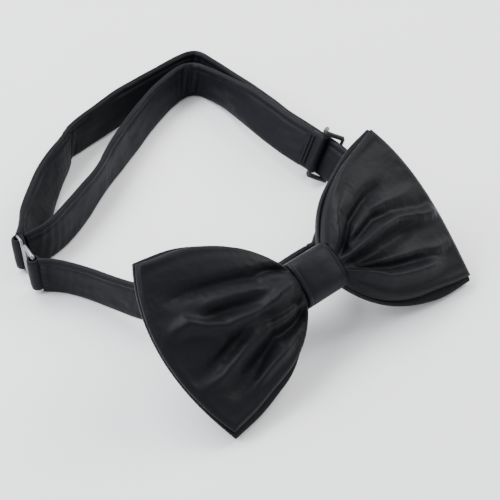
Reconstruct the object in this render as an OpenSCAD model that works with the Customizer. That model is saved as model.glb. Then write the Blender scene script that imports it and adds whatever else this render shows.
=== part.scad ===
// Pre-tied bow tie with an adjustable neck band that closes with a hook and ring.
// It lies on a flat surface: X runs along the bow, Y points from the bow to the far side of
// the neck loop, and Z is up. The origin is on the surface, below the middle of the whole tie.

/* [Bow] */
// Length of the bow, between the middles of its two ends
bow_length = 120; // [116:1:124]
// Height of a wing, from its lower corner to its upper corner
wing_height = 63; // [60:1:64]
// How far the middle of a wing's end stands out past its corners
end_bulge = 7; // [5:1:8]
// Distance from the knot over which a wing flares to its full height
flare_length = 12.5; // [11:0.5:14]
// Angle between the bow and the surface below it
bow_tilt = 40; // [38:1:42]
// Height of the gathered waist inside the knot
waist_height = 14; // [12:0.5:14]
// Rise of the front layer's padding
front_puff = 6; // [4:0.5:7]
// Rise of the rear layer's padding
rear_puff = 3; // [2:0.5:3.5]
// Rise of both paddings at the waist
waist_puff = 2; // [1.5:0.1:2]
// Extra height of the rear layer below and above the front one
rear_margin = 1.5; // [0.5:0.5:2]

/* [Knot] */
// Width of the knot along the bow
knot_width = 17; // [15:0.5:18]
// Thickness of the knot's satin wrap
knot_wall = 1; // [0.8:0.1:1.2]

/* [Neck band] */
// Width of the neck band
band_width = 15.5; // [15:0.5:16]
// Thickness of the flattened neck band
band_thickness = 2.6; // [2.4:0.1:2.8]

/* [Clasp] */
// Diameter of the ring's wire, and height of the hook's upper and lower bars
wire_d = 1.5; // [1.3:0.1:1.6]
// Distance between the ring's two upright bars
ring_length = 7.5; // [7:0.1:8]
// Height of the hook and the ring, between wire centres
clasp_height = 15; // [14.8:0.1:15.2]

/* [Slide] */
// Diameter of the slide's bars
slide_bar_d = 1.4; // [1.2:0.1:1.5]
// Distance between the slide's two outer bars
slide_length = 9; // [8:0.5:10]

/* [Hidden] */

satin = [0.09, 0.09, 0.11];
lining = [0.8, 0.79, 0.75];
thread = [0.05, 0.05, 0.06];
nickel = [0.62, 0.62, 0.63];
plastic = [0.04, 0.04, 0.045];

// Middle of the whole tie, measured from the middle of the bow's lower edge
tie_middle = [2.3, 85.7];

// Cloth thicknesses, and the small gap left between pieces that lie on each other
panel_t = 0.7;
lining_t = 0.6;
gap = 0.1;
clearance = 0.35;
thread_d = 0.5;

// Stack of one layer of the bow, counted from the plane between the two layers
inner_low = gap;
inner_high = inner_low + panel_t;
lining_low = inner_high + gap;
lining_high = lining_low + lining_t;
outer_low = lining_high + gap;
outer_high = outer_low + panel_t;

// Half sizes of what is wound round the waist: thread, interlining and satin wrap
front_waist = outer_high + waist_puff;
thread_in = waist_height / 2 + gap;
knot_lining_in = thread_in + thread_d + gap;
wrap_in = knot_lining_in + lining_t + gap;
wrap_out = wrap_in + knot_wall;
knot_depth = front_waist - waist_height / 2 + wrap_out;

bow_centre_v = wing_height / 2 + rear_margin;
bow_lift = (outer_high + 0.4) * cos(bow_tilt);

// Where the neck band crosses behind the knot
crossing_w = -(knot_depth + clearance + band_thickness / 2);
crossing_y = bow_centre_v * cos(bow_tilt) - crossing_w * sin(bow_tilt);
crossing_z = bow_lift + bow_centre_v * sin(bow_tilt) + crossing_w * cos(bow_tilt);
crossing_lean = bow_tilt - 90;
crossing_lift = crossing_z - standing_height(crossing_lean);
crossing_half = 8.7;
band_start = 15.4;

// Upright bars that the ends of the two bands are folded round
short_bar = [-59.5, 103.5];
long_bar = [-57.2, 117];
clasp_span = norm(long_bar - short_bar);
clasp_angle = atan2(short_bar.y - long_bar.y, short_bar.x - long_bar.x);
clasp_low = wire_d / 2 + 0.2;
hook_reach = clasp_span - ring_length;
loop_in = wire_d / 2 + 0.3;
loop_out = loop_in + 1.5;
loop_low = clasp_low + wire_d / 2 + 0.4;
loop_height = clasp_height - wire_d - 0.8;

// The slide rides on a straight, evenly leaning stretch of the long band
slide_x = 58.5;
slide_y = 82;
slide_lean = 32;
slide_lift = 2.9;
slide_loop_out = 1.5;
return_offset = band_thickness / 2 + clearance + slide_loop_out;
loop_stretch = 7;

// Routes of the bands, as [x, y, lean, lift]: lean is outwards from upright, in degrees, and
// lift is the height of the lower edge above the surface
short_route = [
    [-band_start, crossing_y, crossing_lean, crossing_lift],
    [-22, crossing_y + 8, -44, 7],
    [-34, 50, -22, 4],
    [-42, 62, -6, 1],
    [-46, 76, 0, 0],
    [-49, 88, 0, 0],
    [-53.5, 97, 0, 0],
    [short_bar.x + 1.7, short_bar.y - 2.2, 0, 0]
];
long_route = [
    [band_start, crossing_y, crossing_lean, crossing_lift],
    [22, crossing_y + 8, -42, 7],
    [36, 47, -12, 4],
    [52, 58, 16, slide_lift],
    [slide_x, 68, slide_lean, slide_lift],
    [slide_x, 86, slide_lean, slide_lift],
    [slide_x, 104, slide_lean, slide_lift],
    [slide_x, 120, slide_lean, slide_lift],
    [62, 144, 6, 0.5],
    [64.5, 163, 6, 0.2],
    [63, 168.5, 6, 0.2],
    [56, 169, 8, 0.2],
    [26, 167, 12, 0.2],
    [-1, 162, 2, 0.2],
    [-7, 160.5, -8, 0.2],
    [-11, 156, 4, 0.2],
    [-26, 146, 22, 0.2],
    [-41, 132, 34, 0.2],
    [-51, 122, 10, 0.2],
    [long_bar.x + 1.9, long_bar.y + 2.5, 0, 0.1]
];
slack_route = [
    [slide_x, slide_y + loop_stretch + 0.5, slide_lean, slide_lift],
    [slide_x, 104, slide_lean, slide_lift],
    [slide_x, 120, slide_lean, slide_lift],
    [61.5, 141, 8, 0.5],
    [62, 154, 6, 0.3]
];
return_route = [
    [59, 155, 5, 0.3],
    [58, 161, 4, 0.2],
    [52, 163.3, 4, 0.2],
    [34, 157.5, 10, 0.2],
    [6, 142.5, 10, 0.2],
    [-5, 136, 0, 0.2],
    [-10, 132.5, -4, 0.2],
    [-31, 121, 6, 0.2],
    [-45, 115.5, 2, 0.2],
    [long_bar.x + 4.2, long_bar.y - 0.4, 0, 0.1]
];
route_steps = 3;

$fn = 48;

// Height of the middle of a band that leans and stands on its lower edge
function standing_height(lean) =
    band_width / 2 * cos(lean) + band_thickness / 2 * abs(sin(lean));

// Smooth line through the middles of a route's legs, with its two ends kept
function smooth(route) = [
    route[0],
    for (i = [1 : len(route) - 2], k = [0 : route_steps])
        if (k < route_steps || i == len(route) - 2)
            let (
                f = k / route_steps,
                a = (route[i - 1] + route[i]) / 2,
                b = (route[i] + route[i + 1]) / 2
            )
            (1 - f) * (1 - f) * a + 2 * f * (1 - f) * route[i] + f * f * b,
    route[len(route) - 1]
];

// One cross-section of a band, placed at station i of its line; side is 1 where the outside
// of the loop is to the right of the line, and shift moves the band outwards
function station(line, i, outline, side, shift) =
    let (
        here = line[i],
        ahead = line[min(i + 1, len(line) - 1)],
        behind = line[max(i - 1, 0)],
        step = [ahead.x - behind.x, ahead.y - behind.y],
        run = step / norm(step),
        out = side * [run.y, -run.x, 0],
        up = [0, 0, 1] * cos(here[2]) + out * sin(here[2]),
        face = out * cos(here[2]) - [0, 0, 1] * sin(here[2]),
        centre = [here.x, here.y, here[3] + standing_height(here[2])]
    )
    [for (p = outline) centre + up * p.x + face * (p.y + shift)];

// Folded cover of a band: two faces joined at the lower edge, open along the upper edge
function cover_outline() =
    let (
        h = band_width / 2,
        t = band_thickness / 2,
        slot = t - panel_t
    )
    [[h, -t], [-h, -t], [-h, t], [h, t], [h, slot], [-h + panel_t, slot], [-h + panel_t, -slot], [h, -slot]];

// Interlining strip inside the cover, in the order of the cover's own inner faces
function lining_outline() =
    let (
        h = band_width / 2,
        t = band_thickness / 2 - panel_t - 2 * gap
    )
    [[h - 0.6, t], [-h + panel_t + gap, t], [-h + panel_t + gap, -t], [h - 0.6, -t]];

// Closed solid through a list of rings; each ring lists one long side and then the other
module skin(rings, flip = false) {
    n = len(rings[0]);
    last = len(rings) - 1;
    sides = [
        for (i = [0 : last - 1], k = [0 : n - 1])
            let (
                a = i * n + k,
                b = i * n + (k + 1) % n
            )
            each [[a, b, b + n], [a, b + n, a + n]]
    ];
    caps = [
        for (k = [0 : n / 2 - 2])
            let (
                p = k,
                q = n - 1 - k,
                e = last * n
            )
            each [[p, q, p + 1], [p + 1, q, q - 1], [e + p, e + p + 1, e + q], [e + p + 1, e + q - 1, e + q]]
    ];
    faces = [for (f = concat(sides, caps)) flip ? [f[0], f[2], f[1]] : f];
    polyhedron(points = [for (r = rings) each r], faces = faces);
}

module band(route, outline, side = 1, shift = 0, inside = false) {
    line = smooth(route);
    rings = [for (i = [0 : len(line) - 1]) station(line, i, outline, side, shift)];
    skin(rings, flip = (side > 0) != inside);
}

// Moves from the bow's own plane to its place on the surface
module on_bow() {
    translate([0, 0, bow_lift])
        rotate([bow_tilt, 0, 0])
            translate([0, bow_centre_v, 0])
                children();
}

// Half height of a layer at distance u from the middle of the bow
function half_height(u, margin) =
    let (run = max(abs(u) - knot_width / 2, 0))
    waist_height / 2 + (wing_height / 2 + margin - waist_height / 2) * (1 - exp(-run / flare_length));

// Rise of a layer's padding: s runs along the bow and t across it, both from -1 to 1. It stays
// at the waist's rise inside the knot.
function rise(s, t, puff) =
    let (
        a = abs(s),
        knot_edge = knot_width / bow_length,
        run = max(a - knot_edge, 0) / (1 - knot_edge)
    )
    (1 - pow(a, 3)) * (waist_puff + (puff - waist_puff) * sin(180 * pow(run, 0.7))) * sqrt(1 - t * t);

// Sheet of cloth in the outline of the bow, from its low surface to its high one
module bow_sheet(low, high, low_puff, high_puff, margin, face = 1) {
    along = 26;
    across = 10;
    rings = [
        for (i = [0 : along])
            let (s = 2 * i / along - 1)
            concat(
                [for (j = [0 : across]) sheet_point(s, 2 * j / across - 1, high, high_puff, margin, face)],
                [for (j = [across : -1 : 0]) sheet_point(s, 2 * j / across - 1, low, low_puff, margin, face)]
            )
    ];
    skin(rings, flip = face < 0);
}

function sheet_point(s, t, level, puff, margin, face) =
    let (
        u = s * (bow_length / 2 - end_bulge * t * t),
        w = level + (puff > 0 ? rise(s, t, puff) : 0)
    )
    [u, t * half_height(u, margin), face * w];

module front_outer_panel() {
    color(satin) on_bow() bow_sheet(outer_low, outer_high, front_puff, front_puff, 0);
}

module front_interlining() {
    color(lining) on_bow() bow_sheet(lining_low, lining_high, 0, 0, 0);
}

module front_inner_panel() {
    color(satin) on_bow() bow_sheet(inner_low, inner_high, 0, 0, 0);
}

module rear_inner_panel() {
    color(satin) on_bow() bow_sheet(inner_low, inner_high, 0, 0, rear_margin, -1);
}

module rear_interlining() {
    color(lining) on_bow() bow_sheet(lining_low, lining_high, 0, 0, rear_margin, -1);
}

module rear_outer_panel() {
    color(satin) on_bow() bow_sheet(outer_low, outer_high, rear_puff, rear_puff, rear_margin, -1);
}

// Rounded tube round the waist: margin is its inner distance from the gathered cloth
module waist_tube(inside, wall, width) {
    grow = inside - waist_height / 2;
    rotate([90, 0, 90])
        linear_extrude(width, center = true)
            difference() {
                waist_outline(grow + wall);
                waist_outline(grow);
            }
}

module waist_outline(grow) {
    corner = 1 + grow;
    half_h = waist_height / 2 + grow;
    half_d = front_waist + grow;
    square([2 * (half_h - corner), 2 * half_d], center = true);
    square([2 * half_h, 2 * (half_d - corner)], center = true);
    for (x = [-1, 1], y = [-1, 1])
        translate([x * (half_h - corner), y * (half_d - corner)])
            circle(corner);
}

module gather_thread() {
    turns = 3;
    pitch = 1;
    color(thread)
        on_bow()
            for (i = [0 : turns - 1])
                translate([(i - (turns - 1) / 2) * pitch, 0, 0])
                    waist_tube(thread_in, thread_d, thread_d);
}

module knot_interlining() {
    color(lining) on_bow() waist_tube(knot_lining_in, lining_t, knot_width - 1.4);
}

module knot_wrap() {
    color(satin) on_bow() waist_tube(wrap_in, knot_wall, knot_width);
}

// Stitches that close the wrap at the back, above and below the neck band
module knot_stitches() {
    stitch_length = 1.6;
    stitches = 4;
    color(thread)
        on_bow()
            for (i = [0 : stitches - 1], end = [-1, 1])
                translate([(i - (stitches - 1) / 2) * 2 * stitch_length, 0, -knot_depth - clearance / 2])
                    translate([-stitch_length / 2, end * 2, 0])
                        rotate([0, 90, 0])
                            cylinder(d = 0.3, h = stitch_length);
}

// The stretch of the neck band that is sewn behind the knot
module crossing_strip(low, high, bottom, top) {
    on_bow()
        translate([-crossing_half, low, crossing_w + bottom])
            cube([2 * crossing_half, high - low, top - bottom]);
}

module centre_band_cover() {
    h = band_width / 2;
    t = band_thickness / 2;
    color(satin) {
        crossing_strip(-h, h, -t, -t + panel_t);
        crossing_strip(-h, h, t - panel_t, t);
        crossing_strip(-h, -h + panel_t, -t, t);
    }
}

module centre_band_interlining() {
    h = band_width / 2;
    t = band_thickness / 2 - panel_t - gap;
    color(lining) crossing_strip(-h + panel_t + gap, h - 0.6, -t, t);
}

// End of a band folded round an upright bar
module end_fold(bar) {
    translate([bar.x, bar.y, loop_low])
        difference() {
            cylinder(r = loop_out, h = loop_height);
            translate([0, 0, -1])
                cylinder(r = loop_in, h = loop_height + 2);
        }
}

module short_band_cover() {
    color(satin) band(short_route, cover_outline(), -1);
}

module short_band_interlining() {
    color(lining) band(short_route, lining_outline(), -1, inside = true);
}

module short_band_loop() {
    color(satin) end_fold(short_bar);
}

// Bar tack: a row of short threads on the outer face, beside the end fold
module short_band_tack() {
    heading = -57;
    threads = 6;
    pitch = 2;
    away = 3.6;
    color(thread)
        for (k = [0 : threads - 1])
            translate([short_bar.x, short_bar.y, loop_low + 1.5 + pitch * k])
                rotate([0, 0, heading])
                    translate([away, -(band_thickness / 2 + 0.5), 0])
                        rotate([0, 90, 0])
                            cylinder(d = thread_d, h = 2);
}

module long_band_cover() {
    color(satin) band(long_route, cover_outline());
}

module long_band_interlining() {
    color(lining) band(long_route, lining_outline(), inside = true);
}

module long_band_loop() {
    color(satin) end_fold(long_bar);
}

// The band comes back from the hook towards the slide
module return_band_cover() {
    color(satin) band(return_route, cover_outline());
}

module return_band_interlining() {
    color(lining) band(return_route, lining_outline(), inside = true);
}

// The stretch beside the slide bends and slackens as the slide travels
module slack_band_cover() {
    color(satin) band(slack_route, cover_outline(), 1, -return_offset);
}

module slack_band_interlining() {
    color(lining) band(slack_route, lining_outline(), 1, -return_offset, inside = true);
}

// Upright rectangle of round wire
module catch_ring() {
    corners = [[0, 0, 0], [ring_length, 0, 0], [ring_length, 0, clasp_height], [0, 0, clasp_height]];
    color(nickel)
        translate([short_bar.x, short_bar.y, clasp_low])
            rotate([0, 0, clasp_angle + 180])
                for (i = [0 : 3]) {
                    run = corners[(i + 1) % 4] - corners[i];
                    translate(corners[i]) {
                        sphere(d = wire_d);
                        rotate([0, acos(run.z / norm(run)), atan2(run.y, run.x)])
                            cylinder(d = wire_d, h = norm(run));
                    }
                }
}

// Flat metal frame with a tongue, which ends in a half-open curl beside the ring's bar
module hook() {
    frame_length = 3.5;
    plate = 1;
    tongue_h = 4;
    color(nickel)
        translate([long_bar.x, long_bar.y, clasp_low])
            rotate([0, 0, clasp_angle]) {
                rotate([90, 0, 0])
                    linear_extrude(plate, center = true)
                        difference() {
                            translate([-plate / 2, -wire_d / 2])
                                square([frame_length + plate, clasp_height + wire_d]);
                            translate([plate / 2, wire_d / 2])
                                square([frame_length - plate, clasp_height - wire_d]);
                        }
                translate([0, 0, (clasp_height - tongue_h) / 2])
                    linear_extrude(tongue_h)
                        tongue_outline(frame_length);
            }
}

// Plan of the hook's tongue: a step to one side, a straight arm and the curl
module tongue_outline(start) {
    tongue_t = 1.2;
    curl_r = wire_d + 0.45;
    curl_end = 28;
    curl_steps = 6;
    outer = curl_r + tongue_t / 2;
    inner = curl_r - tongue_t / 2;
    turns = [for (i = [0 : curl_steps]) 90 - (90 - curl_end) * i / curl_steps];
    polygon(concat(
        [[start - tongue_t / 2, 0], [start - tongue_t / 2, outer]],
        [for (a = turns) [hook_reach + outer * cos(a), outer * sin(a)]],
        [for (i = [curl_steps : -1 : 0]) [hook_reach + inner * cos(turns[i]), inner * sin(turns[i])]],
        [[start + tongue_t / 2, inner], [start + tongue_t / 2, 0]]
    ));
}

// Moves to the slide's place: X across the band, Y along it and Z towards its inner face
module on_slide() {
    translate([slide_x, slide_y, slide_lift + standing_height(slide_lean)])
        rotate([0, slide_lean - 90, 0])
            children();
}

// Cambered frame: two outer bars under the long band and a middle bar above it
module slide_frame() {
    cheek_x = band_width / 2 + clearance;
    cheek_w = 1.5;
    low_z = -(band_thickness / 2 + clearance + slide_bar_d / 2);
    bar_x = cheek_x + cheek_w;
    spots = [[-slide_length / 2, low_z], [0, return_offset], [slide_length / 2, low_z]];
    color(plastic)
        on_slide() {
            for (s = spots)
                translate([-bar_x, s.x, s.y])
                    rotate([0, 90, 0])
                        cylinder(d = slide_bar_d, h = 2 * bar_x);
            for (x = [-bar_x, cheek_x])
                translate([x, 0, 0])
                    rotate([90, 0, 90])
                        linear_extrude(cheek_w)
                            cheek_outline(spots);
        }
}

// One cheek: round pads at the three bars and a flat link between each two
module cheek_outline(spots) {
    pad_r = 1.3;
    for (s = spots)
        translate(s)
            circle(pad_r);
    for (i = [0 : 1])
        link(spots[i], spots[i + 1], pad_r);
}

module link(a, b, r) {
    translate(a)
        rotate(atan2(b.y - a.y, b.x - a.x))
            translate([0, -r])
                square([norm(b - a), 2 * r]);
}

// End of the returning band, folded round the slide's middle bar and sewn to itself
module slide_loop() {
    h = band_width / 2 - 0.4;
    t = band_thickness / 2;
    color(satin)
        on_slide()
            translate([-h, 0, return_offset])
                difference() {
                    union() {
                        rotate([0, 90, 0])
                            cylinder(r = slide_loop_out, h = 2 * h);
                        translate([0, 0, -t])
                            cube([2 * h, loop_stretch, 2 * t]);
                    }
                    translate([-1, 0, 0])
                        rotate([0, 90, 0])
                            cylinder(d = slide_bar_d, h = 2 * h + 2);
                }
}

module slide_tack() {
    rows = 2;
    length = band_width - 4;
    color(thread)
        on_slide()
            for (i = [0 : rows - 1])
                translate([-length / 2, 3.4 + 1.6 * i, return_offset + band_thickness / 2 + thread_d / 2 + 0.02])
                    rotate([0, 90, 0])
                        cylinder(d = thread_d, h = length);
}

// Moves a piece so that the origin is below the middle of the tie
module placed() {
    translate([-tie_middle.x, -tie_middle.y, 0])
        children();
}

placed() front_outer_panel();
placed() front_interlining();
placed() front_inner_panel();
placed() rear_inner_panel();
placed() rear_interlining();
placed() rear_outer_panel();
placed() gather_thread();
placed() knot_interlining();
placed() knot_wrap();
placed() knot_stitches();
placed() centre_band_cover();
placed() centre_band_interlining();
placed() short_band_cover();
placed() short_band_interlining();
placed() short_band_loop();
placed() short_band_tack();
placed() catch_ring();
placed() long_band_cover();
placed() long_band_interlining();
placed() long_band_loop();
placed() hook();
placed() return_band_cover();
placed() return_band_interlining();
placed() slack_band_cover();
placed() slack_band_interlining();
placed() slide_frame();
placed() slide_loop();
placed() slide_tack();
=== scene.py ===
"""Looks of a black satin pre-tied bow tie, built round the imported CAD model."""

import math

import bpy
import numpy as np
from mathutils import Matrix, Vector, noise


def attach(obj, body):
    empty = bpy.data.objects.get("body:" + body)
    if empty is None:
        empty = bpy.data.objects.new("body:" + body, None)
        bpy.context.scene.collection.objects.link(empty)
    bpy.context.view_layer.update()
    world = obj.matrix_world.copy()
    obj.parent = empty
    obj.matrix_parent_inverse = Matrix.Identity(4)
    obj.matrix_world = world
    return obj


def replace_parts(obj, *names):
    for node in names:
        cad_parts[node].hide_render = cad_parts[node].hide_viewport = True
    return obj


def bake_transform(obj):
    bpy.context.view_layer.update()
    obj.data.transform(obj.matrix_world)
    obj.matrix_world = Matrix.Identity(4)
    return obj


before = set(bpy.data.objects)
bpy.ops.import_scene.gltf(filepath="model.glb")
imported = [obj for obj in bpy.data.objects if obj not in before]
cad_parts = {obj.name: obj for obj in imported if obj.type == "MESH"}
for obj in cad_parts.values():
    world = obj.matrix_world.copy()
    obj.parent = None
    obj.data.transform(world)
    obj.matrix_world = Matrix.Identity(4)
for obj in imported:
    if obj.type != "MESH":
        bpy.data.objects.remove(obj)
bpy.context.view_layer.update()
collection = bpy.context.scene.collection

# Lengths are given in millimetres from the middle of the bow's lower edge, as in the CAD source
MM = 0.001
TIE_MIDDLE = Vector((2.3, 85.7, 0.0))

# Bow
BOW_LENGTH = 120.0
WING_HEIGHT = 63.0
FLARE_LENGTH = 12.5
BOW_TILT = math.radians(40)
WAIST_HEIGHT = 14.0
KNOT_WIDTH = 17.0
REAR_MARGIN = 1.5
BOW_CENTRE_V = WING_HEIGHT / 2 + REAR_MARGIN
BOW_LIFT = 2.7 * math.cos(BOW_TILT)

# Neck band
BAND_WIDTH = 15.5
BAND_THICKNESS = 2.6
CROSSING_W = -8.35
CROSSING_Y = BOW_CENTRE_V * math.cos(BOW_TILT) - CROSSING_W * math.sin(BOW_TILT)
CROSSING_Z = BOW_LIFT + BOW_CENTRE_V * math.sin(BOW_TILT) + CROSSING_W * math.cos(BOW_TILT)
CROSSING_LEAN = math.degrees(BOW_TILT) - 90

# Clasp and slide
SHORT_BAR = (-59.5, 103.5)
LONG_BAR = (-57.2, 117.0)
SLIDE_X = 58.5
SLIDE_Y = 82.0
SLIDE_LEAN = 32.0
SLIDE_LIFT = 2.9
RETURN_OFFSET = 3.15
SLIDE_LENGTH = 9.0
WIRE_D = 1.5
RING_LENGTH = 7.5
CLASP_HEIGHT = 15.0
CLASP_LOW = WIRE_D / 2 + 0.2
CLASP_SPAN = math.dist(SHORT_BAR, LONG_BAR)
CLASP_ANGLE = math.degrees(math.atan2(SHORT_BAR[1] - LONG_BAR[1], SHORT_BAR[0] - LONG_BAR[0]))
HOOK_REACH = CLASP_SPAN - RING_LENGTH


def in_row(point):
    """A point in millimetres from the middle of the bow's lower edge, in metres in the row's frame."""
    return (Vector(point) - TIE_MIDDLE) * MM


def on_bow(u, v, w):
    """A point in the bow's own plane (u along, v up the slope, w out of its face), in the row."""
    v += BOW_CENTRE_V
    y = v * math.cos(BOW_TILT) - w * math.sin(BOW_TILT)
    z = v * math.sin(BOW_TILT) + w * math.cos(BOW_TILT) + BOW_LIFT
    return in_row((u, y, z))


def add_mesh(name, points, faces, material, levels=1, cloth=None):
    """A smooth mesh piece. cloth gives each point's place on the flat cloth, in millimetres."""
    mesh = bpy.data.meshes.new(name)
    mesh.from_pydata([tuple(p) for p in points], [], faces)
    if cloth:
        layer = mesh.uv_layers.new(name="cloth")
        for loop in mesh.loops:
            layer.data[loop.index].uv = cloth[loop.vertex_index]
    piece = bpy.data.objects.new(name, mesh)
    collection.objects.link(piece)
    mesh.materials.append(material)
    if levels:
        subdivide(piece, levels)
    for polygon in piece.data.polygons:
        polygon.use_smooth = True
    return piece


def subdivide(piece, levels):
    """Rounds the piece's mesh with the given number of subdivisions."""
    subdivision = piece.modifiers.new("smooth", "SUBSURF")
    subdivision.levels = levels
    subdivision.render_levels = levels
    apply_modifiers(piece)


def settle(piece, looseness):
    """Lets the satin buckle a little over its padding; looseness is 0 where a point is held, up to 1."""
    held = piece.vertex_groups.new(name="held")
    for index, loose in enumerate(looseness):
        held.add([index], 1 - loose, "REPLACE")
    cloth = piece.modifiers.new("settle", "CLOTH")
    cloth.settings.vertex_group_mass = "held"
    cloth.settings.quality = 6
    cloth.settings.mass = 0.1
    cloth.settings.tension_stiffness = 25
    cloth.settings.compression_stiffness = 25
    cloth.settings.shear_stiffness = 8
    cloth.settings.bending_stiffness = 8
    cloth.settings.air_damping = 4
    cloth.settings.pin_stiffness = 3
    cloth.settings.shrink_min = -0.02
    cloth.settings.effector_weights.gravity = 0.1
    cloth.collision_settings.use_collision = False
    soften = piece.modifiers.new("soften", "SMOOTH")
    soften.factor = 0.5
    soften.iterations = 3
    soften.vertex_group = "held"
    soften.invert_vertex_group = True
    for step in range(1, SETTLE_FRAMES + 1):
        bpy.context.scene.frame_set(step)
    apply_modifiers(piece)
    bpy.context.scene.frame_set(1)


def apply_modifiers(piece):
    """Turns the piece's modified shape into its mesh."""
    depsgraph = bpy.context.evaluated_depsgraph_get()
    result = bpy.data.meshes.new_from_object(piece.evaluated_get(depsgraph))
    piece.modifiers.clear()
    piece.data = result


# Surfaces of one layer of the bow, counted from the plane between the two layers, in millimetres
LAYER_LOW = 0.1
LAYER_HIGH = 2.3
LINING_MIDDLE = 1.2
LINING_HALF = 0.3
WAIST_PUFF = 2.0
FRONT_PUFF = 6.0
REAR_PUFF = 3.0
SETTLE_FRAMES = 14

# A wing's end: its middle's distance from the knot's middle, how far its corners fall short of that
# on average, and how much the upper corner falls short more, and the lower one less, than that
LEFT_END = (60.5, 7.8, 0.7)
RIGHT_END = (56.3, 4.3, 1.3)

# How far the gathered middle hangs below the pattern, and how far out from the knot it still does
SAG = 2.5
SAG_REACH = 24.0

# Knot: half its height and depth, and how square its outline is (2 is an ellipse)
KNOT_HALF_V = 8.4
KNOT_HALF_W = 6.7
KNOT_SQUARENESS = 3.3

# Interlining strip of a band: how far it lies inside its cover, and the spacing of a band's stations
FILLING_INSET = 0.85
STATION_SPACING = 1.2

# Camera
CAMERA_PLACE = (-217.3, -226.6, 320.8)
CAMERA_TARGET = (9.28, 68.03, 0)
CAMERA_ROLL = math.radians(-4.16)
CAMERA_LENS = 96.7

# Folds of the front layer's wings: height and half width in millimetres, then the fold's line as
# (distance along the wing from the middle of the bow to its end, height from -1 at the lower edge to 1)
LEFT_FOLDS = [
    (-2.9, 2.3, [(0.19, 0.55), (0.36, 0.39), (0.56, 0.43), (0.74, 0.48)]),
    (1.3, 1.5, [(0.37, 0.16), (0.51, 0.22), (0.63, 0.26)]),
    (-2.3, 1.9, [(0.40, -0.01), (0.55, 0.07), (0.68, 0.13)]),
    (3.8, 2.5, [(0.18, 0.08), (0.34, -0.04), (0.49, -0.06), (0.65, -0.03), (0.82, 0.18)]),
    (-2.9, 2.3, [(0.18, -0.32), (0.44, -0.20), (0.66, -0.26), (0.84, -0.36)]),
    (2.3, 1.9, [(0.50, -0.22), (0.67, -0.38), (0.81, -0.46)]),
    (-4.3, 3.0, [(0.21, -0.62), (0.43, -0.48), (0.72, -0.67)]),
    (1.9, 1.7, [(0.44, -0.73), (0.55, -0.73), (0.66, -0.76)]),
]
RIGHT_FOLDS = [
    (2.3, 4.8, [(0.17, 0.47), (0.33, 0.76)]),
    (-2.9, 2.3, [(0.15, 0.06), (0.36, 0.36), (0.60, 0.43)]),
    (1.3, 1.7, [(0.31, 0.21), (0.52, 0.27), (0.78, 0.18)]),
    (-2.3, 2.1, [(0.20, 0.02), (0.50, 0.14), (0.88, -0.08)]),
    (3.8, 2.3, [(0.14, -0.03), (0.36, -0.03), (0.65, -0.01), (0.90, -0.15)]),
    (-2.9, 3.2, [(0.15, -0.29), (0.47, -0.20), (0.67, -0.20)]),
    (1.7, 1.5, [(0.18, -0.32), (0.55, -0.45), (0.85, -0.56)]),
    (-2.6, 2.1, [(0.14, -0.38), (0.45, -0.51), (0.68, -0.56)]),
    (3.2, 2.5, [(0.15, -0.45), (0.38, -0.67), (0.72, -0.72)]),
]

# Routes of the bands' middles, as [x, y, lean outwards in degrees, height of the lower edge]
CROSSING_LIFT = CROSSING_Z - (BAND_WIDTH * math.cos(math.radians(CROSSING_LEAN))
                              - BAND_THICKNESS * math.sin(math.radians(CROSSING_LEAN))) / 2
SHORT_ROUTE = [
    [9, CROSSING_Y, CROSSING_LEAN, CROSSING_LIFT],
    [-14, CROSSING_Y, CROSSING_LEAN, CROSSING_LIFT],
    [-22, CROSSING_Y + 8, -44, 7],
    [-34, 50, -22, 5.4],
    [-42, 62, -6, 2.6],
    [-46, 76, 0, 1],
    [-49, 88, 0, 0.2],
    [-53.5, 97, 0, 0],
    [SHORT_BAR[0] + 0.9, SHORT_BAR[1] - 1.2, 0, 0],
]
LONG_ROUTE = [
    [9.2, CROSSING_Y, CROSSING_LEAN, CROSSING_LIFT],
    [14, CROSSING_Y, CROSSING_LEAN, CROSSING_LIFT],
    [22, CROSSING_Y + 8, -42, 7],
    [36, 47, -12, 4],
    [49, 59.5, 14, 1.8],
    [56.5, 67, 28, 2.5],
    [SLIDE_X, 76, SLIDE_LEAN, SLIDE_LIFT],
    [SLIDE_X, 104, SLIDE_LEAN, SLIDE_LIFT],
    [60.3, 122, 30, SLIDE_LIFT],
    [63.8, 144, 8, 0.8],
    [65.3, 163, 6, 0.2],
    [63.5, 168.5, 6, 0.2],
    [56, 169, 8, 0.2],
    [26, 167, 12, 0.2],
    [-1, 162, 2, 0.2],
    [-7, 160.5, -8, 0.2],
    [-11, 156, 4, 0.2],
    [-26, 146, 22, 0.2],
    [-41, 132, 34, 0.2],
    [-51, 122, 10, 0.2],
    [LONG_BAR[0] + 1.1, LONG_BAR[1] + 1.6, 0, 0.1],
]
SLACK_ROUTE = [
    [SLIDE_X, 88, SLIDE_LEAN, SLIDE_LIFT],
    [SLIDE_X, 104, SLIDE_LEAN, SLIDE_LIFT],
    [60.3, 122, 30, SLIDE_LIFT],
    [63.2, 142, 9, 0.7],
    [62.8, 154, 6, 0.3],
]
RETURN_ROUTE = [
    [58, 161, 4, 0.2],
    [52, 163.3, 4, 0.2],
    [34, 157.5, 10, 0.2],
    [6, 142.5, 10, 0.2],
    [-5, 136, 0, 0.2],
    [-10, 132.5, -4, 0.2],
    [-31, 121, 6, 0.2],
    [-45, 115.5, 2, 0.2],
    [LONG_BAR[0] + 2.4, LONG_BAR[1] - 0.3, 0, 0.1],
]


def smoothstep(low, high, value):
    """0 below low, 1 above high, and a smooth rise between them."""
    x = min(max((value - low) / (high - low), 0.0), 1.0)
    return x * x * (3 - 2 * x)


def crowded(x, share):
    """Moves x, between -1 and 1, towards the nearer end, so that even steps crowd there."""
    return math.sin(math.pi / 2 * x) * share + x * (1 - share)


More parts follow.
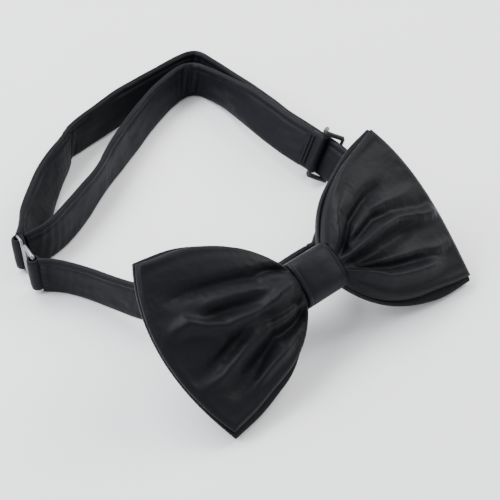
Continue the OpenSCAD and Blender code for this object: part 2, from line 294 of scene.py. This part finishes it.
def ripple(x, y, seed):
    """Smooth noise between about -1 and 1; each seed gives its own field."""
    return noise.noise(Vector((x, y, seed * 17.3)))


def grid_faces(rings, count, closed_ends=True):
    """Faces of a closed skin through rings of count points each."""
    faces = []
    for i in range(rings - 1):
        for k in range(count):
            a = i * count + k
            b = i * count + (k + 1) % count
            faces.append((a, b, b + count, a + count))
    if closed_ends:
        last = (rings - 1) * count
        for k in range(count // 2 - 1):
            mate = count - 1 - k
            faces.append((k, mate, mate - 1, k + 1))
            faces.append((last + k, last + k + 1, last + mate - 1, last + mate))
    return faces


# ---------------------------------------------------------------------------- materials

def new_material(name):
    """A new material, with its node tree and its main shader."""
    material = bpy.data.materials.new(name)
    material.use_nodes = True
    tree = material.node_tree
    return material, tree, tree.nodes["Principled BSDF"]


def noise_texture(tree, source, scale, detail=3.0):
    """Soft random patches; a larger scale makes them smaller."""
    texture = tree.nodes.new("ShaderNodeTexNoise")
    texture.inputs["Scale"].default_value = scale
    texture.inputs["Detail"].default_value = detail
    tree.links.new(source, texture.inputs["Vector"])
    return texture.outputs["Fac"]


def map_range(tree, value, low, high):
    """Spreads a noise value over the range from low to high."""
    node = tree.nodes.new("ShaderNodeMapRange")
    node.inputs["From Min"].default_value = 0.3
    node.inputs["From Max"].default_value = 0.7
    node.inputs["To Min"].default_value = low
    node.inputs["To Max"].default_value = high
    tree.links.new(value, node.inputs["Value"])
    return node.outputs["Result"]


def mix_colours(tree, factor, first, second):
    """A colour between the first and the second one, as the factor says."""
    node = tree.nodes.new("ShaderNodeMix")
    node.data_type = "RGBA"
    node.inputs["A"].default_value = (*first, 1)
    node.inputs["B"].default_value = (*second, 1)
    tree.links.new(factor, node.inputs["Factor"])
    return node.outputs["Result"]


def add_bump(tree, shader, height, strength, distance, under=None):
    """Fine relief on the shader, laid over an earlier relief if one is given."""
    bump = tree.nodes.new("ShaderNodeBump")
    bump.inputs["Strength"].default_value = strength
    bump.inputs["Distance"].default_value = distance
    tree.links.new(height, bump.inputs["Height"])
    if under:
        tree.links.new(under, bump.inputs["Normal"])
    tree.links.new(bump.outputs["Normal"], shader.inputs["Normal"])
    return bump.outputs["Normal"]


def satin(name, dark, light, gloss=0.4):
    """Black satin: fine diagonal weave, uneven sheen and small soft puckers."""
    material, tree, shader = new_material(name)
    place = tree.nodes.new("ShaderNodeTexCoord")
    patches = noise_texture(tree, place.outputs["Object"], 70)
    tree.links.new(mix_colours(tree, patches, dark, light), shader.inputs["Base Color"])
    tree.links.new(map_range(tree, patches, gloss - 0.04, gloss + 0.08), shader.inputs["Roughness"])
    shader.inputs["Specular IOR Level"].default_value = 0.13
    shader.inputs["Sheen Weight"].default_value = 0.015
    shader.inputs["Sheen Roughness"].default_value = 0.35
    shader.inputs["Sheen Tint"].default_value = (0.62, 0.68, 0.85, 1)
    weave = tree.nodes.new("ShaderNodeTexWave")
    weave.bands_direction = "DIAGONAL"
    weave.inputs["Scale"].default_value = 2.6
    weave.inputs["Distortion"].default_value = 1.5
    tree.links.new(place.outputs["UV"], weave.inputs["Vector"])
    puckers = noise_texture(tree, place.outputs["Object"], 260, 4)
    soft = add_bump(tree, shader, puckers, 0.22, 0.0012)
    add_bump(tree, shader, weave.outputs["Fac"], 0.05, 0.0002, soft)
    return material


def brushed_metal(name):
    """Nickel plate with fine scratches and duller patches."""
    material, tree, shader = new_material(name)
    place = tree.nodes.new("ShaderNodeTexCoord")
    patches = noise_texture(tree, place.outputs["Object"], 300)
    colour = mix_colours(tree, patches, (0.2, 0.2, 0.21), (0.3, 0.3, 0.31))
    tree.links.new(colour, shader.inputs["Base Color"])
    tree.links.new(map_range(tree, patches, 0.24, 0.42), shader.inputs["Roughness"])
    shader.inputs["Metallic"].default_value = 1.0
    add_bump(tree, shader, noise_texture(tree, place.outputs["Object"], 1800), 0.1, 0.0001)
    return material


def black_plastic(name):
    """Moulded plastic with a faint grain and an uneven tone in soft patches."""
    material, tree, shader = new_material(name)
    place = tree.nodes.new("ShaderNodeTexCoord")
    patches = noise_texture(tree, place.outputs["Object"], 400)
    colour = mix_colours(tree, patches, (0.004, 0.004, 0.005), (0.008, 0.008, 0.009))
    tree.links.new(colour, shader.inputs["Base Color"])
    tree.links.new(map_range(tree, patches, 0.35, 0.5), shader.inputs["Roughness"])
    shader.inputs["Specular IOR Level"].default_value = 0.3
    add_bump(tree, shader, noise_texture(tree, place.outputs["Object"], 2500), 0.08, 0.0001)
    return material


def sewing_thread(name):
    """Matte polyester thread with a twist."""
    material, tree, shader = new_material(name)
    place = tree.nodes.new("ShaderNodeTexCoord")
    fuzz = noise_texture(tree, place.outputs["Object"], 1500)
    colour = mix_colours(tree, fuzz, (0.004, 0.004, 0.005), (0.009, 0.009, 0.011))
    tree.links.new(colour, shader.inputs["Base Color"])
    shader.inputs["Roughness"].default_value = 0.7
    shader.inputs["Specular IOR Level"].default_value = 0.15
    add_bump(tree, shader, fuzz, 0.3, 0.0001)
    return material


def fleece(name):
    """Off-white interlining, matte and fibrous."""
    material, tree, shader = new_material(name)
    place = tree.nodes.new("ShaderNodeTexCoord")
    fibres = noise_texture(tree, place.outputs["Object"], 900)
    colour = mix_colours(tree, fibres, (0.5, 0.49, 0.46), (0.66, 0.65, 0.61))
    tree.links.new(colour, shader.inputs["Base Color"])
    shader.inputs["Roughness"].default_value = 0.95
    add_bump(tree, shader, fibres, 0.3, 0.0003)
    return material


# ---------------------------------------------------------------------------- bow

def half_height(u, margin):
    """Half height of a layer at distance u from the middle of the bow."""
    run = max(abs(u) - KNOT_WIDTH / 2 + 0.5, 0)
    waist = WAIST_HEIGHT / 2
    return waist + (WING_HEIGHT / 2 + margin - waist) * (1 - math.exp(-run / FLARE_LENGTH))


def wing_reach(s, t):
    """Distance from the middle of the bow at s along it and t across it."""
    middle, bulge, skew = RIGHT_END if s > 0 else LEFT_END
    return s * (middle - bulge * t * t - skew * t * t * t)


def sag(u):
    """How far the gathered middle hangs below the pattern, in millimetres."""
    return SAG * math.exp(-(u / SAG_REACH) ** 2)


def edge_dip(s, t, face):
    """How far a wing is pulled down at its upper edge, or up at its lower one, in millimetres."""
    bell = math.sin(math.pi * min(abs(s), 1))
    above = (3.4 if s > 0 else 1.8) - (0.7 if face < 0 else 0)
    below = 0.0 if s > 0 else 2.2
    return bell * (above * max(t, 0) ** 2 - below * min(t, 0) ** 2)


def padding(s, t, puff):
    """Rise of a layer's padding at s along the bow and t across it."""
    a = abs(s)
    knot_edge = (KNOT_WIDTH - 2.4) / BOW_LENGTH
    run = max(a - knot_edge, 0) / (1 - knot_edge)
    swell = WAIST_PUFF + (puff - WAIST_PUFF) * math.sin(math.pi * run ** 0.5)
    return (1 - a ** 3) * swell * math.sqrt(1 - t * t)


def drawn_folds(s, t, height):
    """Height of the front layer's listed folds."""
    total = 0.0
    along = abs(s)
    for rise, width, line in RIGHT_FOLDS if s > 0 else LEFT_FOLDS:
        start, end = line[0][0], line[-1][0]
        middle = np.interp(along, [p[0] for p in line], [p[1] for p in line])
        fade = smoothstep(start - 0.1, start + 0.04, along) * (1 - smoothstep(end - 0.04, end + 0.18, along))
        if fade > 0:
            off = (t - middle) * height / (width * (0.45 + 0.55 * height / (WING_HEIGHT / 2)))
            total += rise * fade * math.exp(-off * off)
    return total


def gathers(u, v, t, seed):
    """Small pleats that fan out of the knot, and the uneven surface of the padding."""
    run = max(abs(u) - KNOT_WIDTH / 2, 0)
    pleats = math.sin(t * 13 + seed + 1.5 * ripple(u / 9, t * 2, seed)) * math.exp(-run / 9)
    broad = ripple(u / 20, v / 11, seed + 1)
    small = ripple(u / 9, v / 4, seed + 2)
    return 0.4 * pleats + 0.8 * broad + 0.15 * small


def seam_roll(t, height):
    """The sewn edge stands up as a narrow roll with a shallow groove beside it."""
    inside = (1 - abs(t)) * height
    return 0.3 * math.exp(-((inside - 1.6) / 1.2) ** 2) - 0.15 * math.exp(-((inside - 4.2) / 1.4) ** 2)


def edge_sway(u, t, face):
    """How far the cut edges wander from the pattern, in millimetres."""
    reach = smoothstep(12, 30, abs(u)) * abs(t) ** 3
    sway = 0.8 * ripple(u / 16, t, 21 + face)
    if face < 0:
        sway -= 0.9
    return sway * reach


def bow_layer(name, face, margin, puff, material):
    """One padded layer of the bow: face is 1 for the front layer and -1 for the rear one."""
    along, across = 150, 56
    points, cloth, looseness = [], [], []
    for i in range(along + 1):
        s = crowded(2 * i / along - 1, 0.35)
        outer, inner = [], []
        for j in range(across + 1):
            t = crowded(2 * j / across - 1, 0.6)
            u = wing_reach(s, t)
            height = half_height(u, margin)
            v = t * height + edge_sway(u, t, face) - sag(u) - edge_dip(s, t, face)
            open_wing = smoothstep(KNOT_WIDTH / 2 - 1, KNOT_WIDTH / 2 + 5, abs(u))
            near_end = 1 - smoothstep(0.93, 1.0, abs(s))
            folds = gathers(u, v, t, 3 if face > 0 else 8)
            if face > 0:
                folds += drawn_folds(s, t, height)
            flat_edge = 1 - abs(t) ** 8
            lift = padding(s, t, puff) + (folds * flat_edge + seam_roll(t, height)) * open_wing * near_end
            level = max(LAYER_HIGH + lift, LAYER_HIGH - 0.3)
            level -= 0.8 * smoothstep(0.97, 1.0, max(abs(t), abs(s)))
            outer.append(on_bow(u, v, face * level))
            inner.append(on_bow(u, v, face * (LAYER_LOW + 0.5 * smoothstep(0.97, 1.0, abs(t)))))
            cloth.append((u, v))
            looseness.append(0.6 * open_wing * near_end * flat_edge)
        points += outer + inner[::-1]
        looseness += [0.0] * len(inner)
        cloth += [cloth[k] for k in range(len(cloth) - 1, len(cloth) - across - 2, -1)]
    faces = grid_faces(along + 1, 2 * (across + 1))
    piece = add_mesh(name, points, faces, material, 0, cloth)
    settle(piece, looseness)
    subdivide(piece, 1)
    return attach(piece, "bow")


def bow_lining(name, face, margin, material):
    """Flat interlining sheet inside one layer, cut a little smaller than its cover."""
    along, across = 40, 8
    points = []
    for i in range(along + 1):
        s = 0.97 * (2 * i / along - 1)
        low, high = [], []
        for j in range(across + 1):
            t = 0.93 * (2 * j / across - 1)
            u = wing_reach(s, t)
            v = t * half_height(u, margin) - sag(u) - edge_dip(s, t, 1)
            low.append(on_bow(u, v, face * (LINING_MIDDLE - LINING_HALF)))
            high.append(on_bow(u, v, face * (LINING_MIDDLE + LINING_HALF)))
        points += high + low[::-1]
    piece = add_mesh(name, points, grid_faces(along + 1, 2 * (across + 1)), material, 0)
    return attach(piece, "bow")


def round_waist(u, turn, half_v, half_w):
    """A point on the rounded outline of what is wound round the gathered middle."""
    c, d = math.cos(turn), math.sin(turn)
    v = math.copysign(abs(c) ** (2 / KNOT_SQUARENESS), c)
    w = math.copysign(abs(d) ** (2 / KNOT_SQUARENESS), d)
    return on_bow(u, v * half_v - SAG, w * half_w)


def knot(material):
    """Satin wrap of the knot: a rounded tube with turned-in hems, fuller on its front."""
    half_u = KNOT_WIDTH / 2
    hem = [
        (-half_u + 0.5, 1.3), (-half_u + 0.1, 0.9), (-half_u, 0.45), (-half_u + 0.25, 0.1),
        (-half_u + 0.8, 0.0), (-half_u + 1.25, 0.05), (-half_u + 1.5, 0.22), (-half_u + 1.8, 0.05),
    ]
    profile = hem + [(u, 0.0) for u in np.linspace(-half_u + 2.4, half_u - 2.4, 18)]
    profile += [(-u, inset) for u, inset in reversed(hem)]
    around = 120
    points, cloth = [], []
    for u, inset in profile:
        for k in range(around):
            turn = 2 * math.pi * k / around
            front = max(math.sin(turn), 0) ** 2
            fullness = 0.6 * math.cos(math.pi * u / KNOT_WIDTH)
            pinch = 0.3 * ripple(u / 6, turn * 0.9, 31) * smoothstep(half_u, half_u - 2.5, abs(u))
            grow = (fullness + pinch) * front - inset
            points.append(round_waist(u, turn, KNOT_HALF_V + grow, KNOT_HALF_W + grow))
            cloth.append((turn * 8, u))
    piece = add_mesh("knot_satin", points, grid_faces(len(profile), around, False), material, 1, cloth)
    thicken(piece, 0.8)
    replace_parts(piece, "knot_wrap")
    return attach(piece, "bow")


def thicken(piece, thickness):
    """Gives a sheet its thickness, in millimetres, on its inner side."""
    solidify = piece.modifiers.new("cloth", "SOLIDIFY")
    solidify.thickness = thickness * MM
    solidify.offset = -1
    apply_modifiers(piece)


def knot_filling(material):
    """Interlining inside the knot's wrap."""
    around, rings, inset = 72, 8, 0.95
    points = []
    for u in np.linspace(-7, 7, rings):
        for k in range(around):
            turn = 2 * math.pi * k / around
            points.append(round_waist(u, turn, KNOT_HALF_V - inset, KNOT_HALF_W - inset))
    piece = add_mesh("knot_filling", points, grid_faces(rings, around, False), material, 0)
    thicken(piece, 0.5)
    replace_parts(piece, "knot_interlining")
    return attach(piece, "bow")


def gather_thread(material):
    """Three turns of thread that hold the gathers under the knot."""
    inset = 1.75
    turns = np.linspace(0, 2 * math.pi, 61)[:-1]
    loops = []
    for u in (-1, 0, 1):
        loops.append([round_waist(u, turn, KNOT_HALF_V - inset, KNOT_HALF_W - inset) for turn in turns])
    piece = beam("gather_thread_loops", loops, 0.22 * MM, material, closed=True)
    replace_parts(piece, "gather_thread")
    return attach(piece, "bow")


# ---------------------------------------------------------------------------- bands

def standing_height(lean):
    """Height of the middle of a band that leans and stands on its lower edge."""
    lean = math.radians(lean)
    return BAND_WIDTH / 2 * math.cos(lean) + BAND_THICKNESS / 2 * abs(math.sin(lean))


def inward(station, shift):
    """The station of a second band that lies shift millimetres inside the first one."""
    x, y, lean, lift = station
    angle = math.radians(lean)
    return [x - shift * math.cos(angle), y, lean, lift + shift * math.sin(angle)]


def smooth_route(route, spacing):
    """Evenly spaced stations on the smooth line through the middles of a route's legs."""
    route = np.array(route, float)
    line = [route[0]]
    for i in range(1, len(route) - 1):
        a = (route[i - 1] + route[i]) / 2
        b = (route[i] + route[i + 1]) / 2
        for f in np.linspace(0, 1, 12, endpoint=i == len(route) - 2):
            line.append((1 - f) ** 2 * a + 2 * f * (1 - f) * route[i] + f * f * b)
    line.append(route[-1])
    line = np.array(line)
    travelled = np.concatenate([[0], np.cumsum(np.linalg.norm(np.diff(line[:, :2], axis=0), axis=1))])
    wanted = np.linspace(0, travelled[-1], max(int(travelled[-1] / spacing), 4))
    return wanted, np.array([np.interp(wanted, travelled, line[:, k]) for k in range(4)]).T


def band_outline(inset):
    """Half of a band's cross-section: height up the band, and half thickness there."""
    half = BAND_WIDTH / 2 - inset
    thick = BAND_THICKNESS / 2 - inset
    outline = []
    for x in np.linspace(-1, 1, 27):
        p = crowded(x, 0.5)
        q = thick * max(1 - abs(p) ** 7, 0.02) ** 0.5
        if inset == 0:
            q -= 0.5 * math.exp(-((p * half - half + 2.5) / 0.45) ** 2)
            q += 0.18 * math.exp(-((p * half - half + 1.4) / 0.6) ** 2)
        outline.append((p * half, q))
    return outline


def band(name, route, side, material, inset=0.0, seed=0, bars=()):
    """A flattened tube of satin along a route; side is 1 where outside is to the line's right.
    With an inset it is the smaller strip inside, which also stops short of both ends."""
    along, line = smooth_route(route, STATION_SPACING)
    if inset:
        along, line = along[3:-3], line[3:-3]
    outline = band_outline(inset)
    run = np.gradient(line[:, :2], axis=0)
    run /= np.linalg.norm(run, axis=1)[:, None]
    bend = np.linalg.norm(np.gradient(run, along, axis=0), axis=1)
    points, cloth = [], []
    for i, (x, y, lean, lift) in enumerate(line):
        angle = math.radians(lean)
        out = Vector((side * run[i][1], -side * run[i][0], 0))
        up = Vector((0, 0, 1)) * math.cos(angle) + out * math.sin(angle)
        face = out * math.cos(angle) - Vector((0, 0, 1)) * math.sin(angle)
        centre = Vector((x, y, lift + standing_height(lean)))
        pucker = min(bend[i] * 9, 1.0)
        ring = [(p, -q) for p, q in reversed(outline)] + [(p, q) for p, q in outline]
        for p, q in ring:
            if inset == 0:
                soft = 1 - abs(2 * p / BAND_WIDTH) ** 4
                q += math.copysign(0.3, q) * ripple(along[i] / 7, p / 3.2, seed + (q > 0)) * soft
                q += 0.35 * ripple(along[i] / 16, p / 9, seed + 5)
                q += pucker * 0.7 * soft * math.sin(along[i] * 1.7 + p * 0.5 + seed)
                p += 0.25 * ripple(along[i] / 10, 0, seed + 7) * (p > 0)
            points.append(in_row(centre + up * p + face * q))
            cloth.append((along[i], p))
    faces = grid_faces(len(line), 2 * len(outline))
    for bar in bars:
        add_fold(points, faces, cloth, bar)
    return add_mesh(name, points, faces, material, 1 if inset == 0 else 0, cloth)


def add_fold(points, faces, cloth, bar):
    """The band's end turned round an upright bar, added to the band's points and faces."""
    around, low, high = 28, 1.9, 15.0
    inner, outer = 1.05, 2.5
    profile = [(inner, low), (inner, high), (inner + 0.4, high + 0.25)]
    profile += [(outer - 0.35, high + 0.2), (outer, high - 0.4)]
    profile += [(outer + 0.1, low + (high - low) * f) for f in (0.75, 0.5, 0.25)]
    profile += [(outer, low + 0.4), (outer - 0.35, low - 0.1)]
    first = len(points)
    for radius, z in profile:
        for k in range(around):
            turn = 2 * math.pi * k / around
            points.append(in_row((bar[0] + radius * math.cos(turn), bar[1] + radius * math.sin(turn), z)))
            cloth.append((radius * turn, z))
    for i in range(len(profile)):
        for k in range(around):
            a = i * around + k
            b = i * around + (k + 1) % around
            step = (i + 1) % len(profile) * around - i * around
            faces.append(tuple(first + n for n in (a, a + step, b + step, b)))


def straps(cloth, filling):
    """The three bands of the neck loop and the interlining strips inside them."""
    tail = [inward(station, RETURN_OFFSET) for station in SLACK_ROUTE] + RETURN_ROUTE
    short_turn = (in_row((-8, CROSSING_Y, 0)), in_row((-14, CROSSING_Y + 10.4, 0)))
    long_turn = (in_row((8, CROSSING_Y, 0)), in_row((14, CROSSING_Y + 10.4, 0)))
    tail_turn = (in_row((58, 158, 0)), in_row((79.6, 147.7, 0)))
    plans = [
        ("short_band_satin", SHORT_ROUTE, -1, [SHORT_BAR], ("bow", "short_band"), short_turn,
         ("short_band_cover", "short_band_loop", "centre_band_cover"),
         ("centre_band_interlining", "short_band_interlining")),
        ("long_band_satin", LONG_ROUTE, 1, [LONG_BAR], ("bow", "long_band"), long_turn,
         ("long_band_cover", "long_band_loop"), ("long_band_interlining",)),
        ("tail_band_satin", tail, 1, [], ("long_band", "slide"), tail_turn,
         ("return_band_cover", "slack_band_cover"), ("return_band_interlining", "slack_band_interlining")),
    ]
    for seed, (name, route, side, bars, bodies, turn, covers, linings) in enumerate(plans):
        cover = band(name, route, side, cloth, 0.0, 40 + 11 * seed, bars)
        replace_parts(cover, *covers)
        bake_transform(cover)
        strip = band(name.replace("satin", "filling"), route, side, filling, FILLING_INSET)
        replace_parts(strip, *linings)
        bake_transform(strip)


# ---------------------------------------------------------------------------- clasp and slide

def beam(name, corners, radius, material, closed=False):
    """A wire or thread through the given points, made as a bevelled curve and turned into a mesh."""
    curve = bpy.data.curves.new(name, "CURVE")
    curve.dimensions = "3D"
    curve.bevel_depth = radius
    curve.bevel_resolution = 5
    curve.use_fill_caps = True
    for line in corners:
        spline = curve.splines.new("POLY")
        spline.points.add(len(line) - 1)
        for point, place in zip(spline.points, line):
            point.co = (*place, 1)
        spline.use_cyclic_u = closed
    wire = bpy.data.objects.new(name, curve)
    collection.objects.link(wire)
    mesh = bpy.data.meshes.new_from_object(wire.evaluated_get(bpy.context.evaluated_depsgraph_get()))
    bpy.data.objects.remove(wire)
    piece = bpy.data.objects.new(name, mesh)
    collection.objects.link(piece)
    mesh.materials.clear()
    mesh.materials.append(material)
    for polygon in mesh.polygons:
        polygon.use_smooth = True
    return piece


def clasp_place(bar, heading, x, y, z):
    """A point of the hook or ring: x runs from the bar along the heading, y to its left."""
    angle = math.radians(heading)
    return in_row((bar[0] + x * math.cos(angle) - y * math.sin(angle),
                   bar[1] + x * math.sin(angle) + y * math.cos(angle), z))


def rounded_rectangle(x0, x1, z0, z1, corner):
    """Points round an upright rectangle with rounded corners, as (x, z)."""
    outline = []
    right, left = x1 - corner, x0 + corner
    top, bottom = z1 - corner, z0 + corner
    for quarter, (x, z) in enumerate([(right, top), (left, top), (left, bottom), (right, bottom)]):
        for step in range(7):
            turn = math.pi / 2 * (quarter + step / 6)
            outline.append((x + corner * math.cos(turn), z + corner * math.sin(turn)))
    return outline


def catch_ring(material):
    """Rectangular wire ring that hangs in the short band's end."""
    heading = CLASP_ANGLE + 180
    outline = rounded_rectangle(0, RING_LENGTH, CLASP_LOW, CLASP_LOW + CLASP_HEIGHT, 1.1)
    path = [clasp_place(SHORT_BAR, heading, x, 0, z) for x, z in outline]
    piece = beam("ring_wire", [path], WIRE_D / 2 * MM, material, closed=True)
    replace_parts(piece, "catch_ring")
    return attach(piece, "catch_ring")


def hook(material):
    """Hook: a flat frame in the long band's end, and a tongue with a half-open curl."""
    frame_length, half_tongue, curl_r = 3.5, 2.0, WIRE_D + 0.45
    outline = rounded_rectangle(0, frame_length, CLASP_LOW - 0.1, CLASP_LOW + CLASP_HEIGHT + 0.1, 0.6)
    frame_path = [clasp_place(LONG_BAR, CLASP_ANGLE, x, 0, z) for x, z in outline]
    piece = beam("hook_metal", [frame_path], 0.5 * MM, material, closed=True)
    plan = [(frame_length, 0.0), (frame_length, 0.7)]
    plan += [(frame_length + 0.15, curl_r - 0.25), (frame_length + 0.6, curl_r)]
    plan += [(x, curl_r) for x in np.linspace(frame_length + 1, HOOK_REACH, 5)]
    for turn in np.radians(np.linspace(80, 30, 6)):
        plan.append((HOOK_REACH + curl_r * math.cos(turn), curl_r * math.sin(turn)))
    middle = CLASP_LOW + CLASP_HEIGHT / 2
    points = []
    for i, (x, y) in enumerate(plan):
        ahead = plan[min(i + 1, len(plan) - 1)]
        behind = plan[max(i - 1, 0)]
        run = Vector((ahead[0] - behind[0], ahead[1] - behind[1])).normalized()
        taper = 1 - 0.25 * smoothstep(len(plan) - 4, len(plan) - 1, i)
        for side, z in ((-0.5, 1), (0.5, 1), (0.5, -1), (-0.5, -1)):
            place = (x - run.y * side, y + run.x * side, middle + z * half_tongue * taper)
            points.append(clasp_place(LONG_BAR, CLASP_ANGLE, *place))
    tongue = add_mesh("hook_tongue", points, grid_faces(len(plan), 4), material, 0)
    bevel = tongue.modifiers.new("edges", "BEVEL")
    bevel.width = 0.25 * MM
    bevel.segments = 3
    apply_modifiers(tongue)
    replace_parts(piece, "hook")
    for part in (piece, tongue):
        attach(part, "hook")


def slide_place(x, y, z):
    """A point of the slide: x across the band, y along it and z towards its inner face."""
    lean = math.radians(SLIDE_LEAN - 90)
    height = SLIDE_LIFT + standing_height(SLIDE_LEAN)
    return in_row((SLIDE_X + x * math.cos(lean) + z * math.sin(lean), SLIDE_Y + y,
                   height - x * math.sin(lean) + z * math.cos(lean)))


def slide_buckle(material):
    """Cambered plastic slide: two outer bars under the long band and a middle bar above it."""
    clearance, bar_d, cheek_w = 0.35, 1.4, 1.5
    low = -(BAND_THICKNESS / 2 + clearance + bar_d / 2)
    reach = BAND_WIDTH / 2 + clearance + cheek_w / 2
    spots = [(-SLIDE_LENGTH / 2, low), (0, RETURN_OFFSET), (SLIDE_LENGTH / 2, low)]
    bars = [[slide_place(-reach, y, z), slide_place(reach, y, z)] for y, z in spots]
    piece = beam("slide_bars", bars, bar_d / 2 * MM, material)
    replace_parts(piece, "slide_frame")
    parts = [piece]
    for name, x in (("slide_cheek_low", -reach), ("slide_cheek_high", reach)):
        line = []
        for f in np.linspace(-1, 1, 15):
            z = RETURN_OFFSET + (low - RETURN_OFFSET) * abs(f) ** 1.3
            line.append(slide_place(x, f * SLIDE_LENGTH / 2, z))
        cheek = beam(name, [line], 0.95 * MM, material)
        parts.append(cheek)
    for part in parts:
        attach(part, "slide")


def slide_fold(material):
    """Free end of the band, folded round the slide's middle bar and sewn to itself."""
    half, thick, radius, stretch = BAND_WIDTH / 2 - 0.3, BAND_THICKNESS / 2, 1.5, 8.5
    outline = [(stretch, -thick)]
    outline += [(y, -thick - 0.12 * math.sin(y * 1.3)) for y in np.linspace(stretch - 1, 1.2, 7)]
    for turn in np.radians(np.linspace(-80, -280, 15)):
        outline.append((radius * math.cos(turn), radius * math.sin(turn)))
    outline += [(y, thick + 0.15 * math.sin(y * 1.7)) for y in np.linspace(1.2, stretch - 1, 7)]
    outline += [(stretch, thick)]
    points, cloth = [], []
    widths = np.linspace(-1, 1, 21)
    for x in widths:
        for y, z in outline:
            edge = 1 - 0.22 * abs(x) ** 8
            soft = 0.12 * ripple(x * 3, y / 3, 71)
            points.append(slide_place(x * half, y, RETURN_OFFSET + z * edge + soft))
            cloth.append((y, x * half))
    faces = grid_faces(len(widths), len(outline))
    piece = add_mesh("slide_fold_satin", points, faces, material, 1, cloth)
    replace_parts(piece, "slide_loop")
    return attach(piece, "slide")


# ---------------------------------------------------------------------------- studio

def studio():
    """Pale floor, soft lights and the camera."""
    floor_material, tree, shader = new_material("floor")
    shader.inputs["Base Color"].default_value = (0.92, 0.92, 0.92, 1)
    shader.inputs["Roughness"].default_value = 0.9
    bpy.ops.mesh.primitive_plane_add(size=6)
    floor = bpy.context.object
    floor.name = "floor"
    floor.data.materials.append(floor_material)

    world = bpy.data.worlds.new("pale")
    world.use_nodes = True
    world.node_tree.nodes["Background"].inputs["Color"].default_value = (0.93, 0.96, 1.0, 1)
    world.node_tree.nodes["Background"].inputs["Strength"].default_value = 1.0
    bpy.context.scene.world = world

    lights = [
        ("key", (-0.55, 0.35, 0.75), 0.6, 11, (0.92, 0.96, 1.0)),
        ("fill", (0.7, -0.1, 0.6), 0.6, 7, (1.0, 0.98, 0.96)),
        ("top", (0.05, 0.6, 0.9), 0.5, 9, (1.0, 1.0, 1.0)),
    ]
    for name, place, size, power, colour in lights:
        light = bpy.data.lights.new(name, "AREA")
        light.size = size
        light.energy = power
        light.color = colour
        lamp = bpy.data.objects.new(name, light)
        lamp.location = place
        lamp.rotation_euler = (Vector((0, 0, 0)) - Vector(place)).to_track_quat("-Z", "Y").to_euler()
        collection.objects.link(lamp)

    camera = bpy.data.cameras.new("camera")
    camera.lens = CAMERA_LENS
    camera.sensor_width = 36
    camera.clip_start = 0.01
    eye = bpy.data.objects.new("camera", camera)
    collection.objects.link(eye)
    place = in_row(CAMERA_PLACE)
    ahead = (in_row(CAMERA_TARGET) - place).normalized()
    level = ahead.cross(Vector((0, 0, 1))).normalized()
    above = level.cross(ahead)
    right = level * math.cos(CAMERA_ROLL) + above * math.sin(CAMERA_ROLL)
    up = above * math.cos(CAMERA_ROLL) - level * math.sin(CAMERA_ROLL)
    axes = Matrix((right, up, -ahead)).transposed()
    eye.matrix_world = Matrix.Translation(place) @ axes.to_4x4()
    bpy.context.scene.camera = eye


def paint_frame_nodes(material, *names):
    """Gives a shown CAD node this scene's material."""
    for name in names:
        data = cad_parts[name].data
        data.materials.clear()
        data.materials.append(material)


def build():
    """Makes the materials, every piece of the tie and the studio."""
    bow_satin = satin("bow satin", (0.0028, 0.003, 0.004), (0.0044, 0.0047, 0.0064), 0.5)
    knot_satin = satin("knot satin", (0.0036, 0.004, 0.0055), (0.0056, 0.0062, 0.0086), 0.46)
    band_satin = satin("band satin", (0.004, 0.0039, 0.0057), (0.0062, 0.006, 0.0086), 0.54)
    metal = brushed_metal("nickel plate")
    plastic = black_plastic("black plastic")
    cotton = sewing_thread("black thread")
    filling = fleece("interlining")

    front = bow_layer("bow_front_satin", 1, 0.0, FRONT_PUFF, bow_satin)
    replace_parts(front, "front_outer_panel", "front_inner_panel")
    rear = bow_layer("bow_rear_satin", -1, REAR_MARGIN, REAR_PUFF, bow_satin)
    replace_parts(rear, "rear_outer_panel", "rear_inner_panel")
    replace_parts(bow_lining("bow_front_filling", 1, 0.0, filling), "front_interlining")
    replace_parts(bow_lining("bow_rear_filling", -1, REAR_MARGIN, filling), "rear_interlining")
    knot(knot_satin)
    knot_filling(filling)
    gather_thread(cotton)
    straps(band_satin, filling)
    catch_ring(metal)
    hook(metal)
    slide_buckle(plastic)
    slide_fold(band_satin)
    paint_frame_nodes(cotton, "knot_stitches", "short_band_tack", "slide_tack")
    studio()


build()
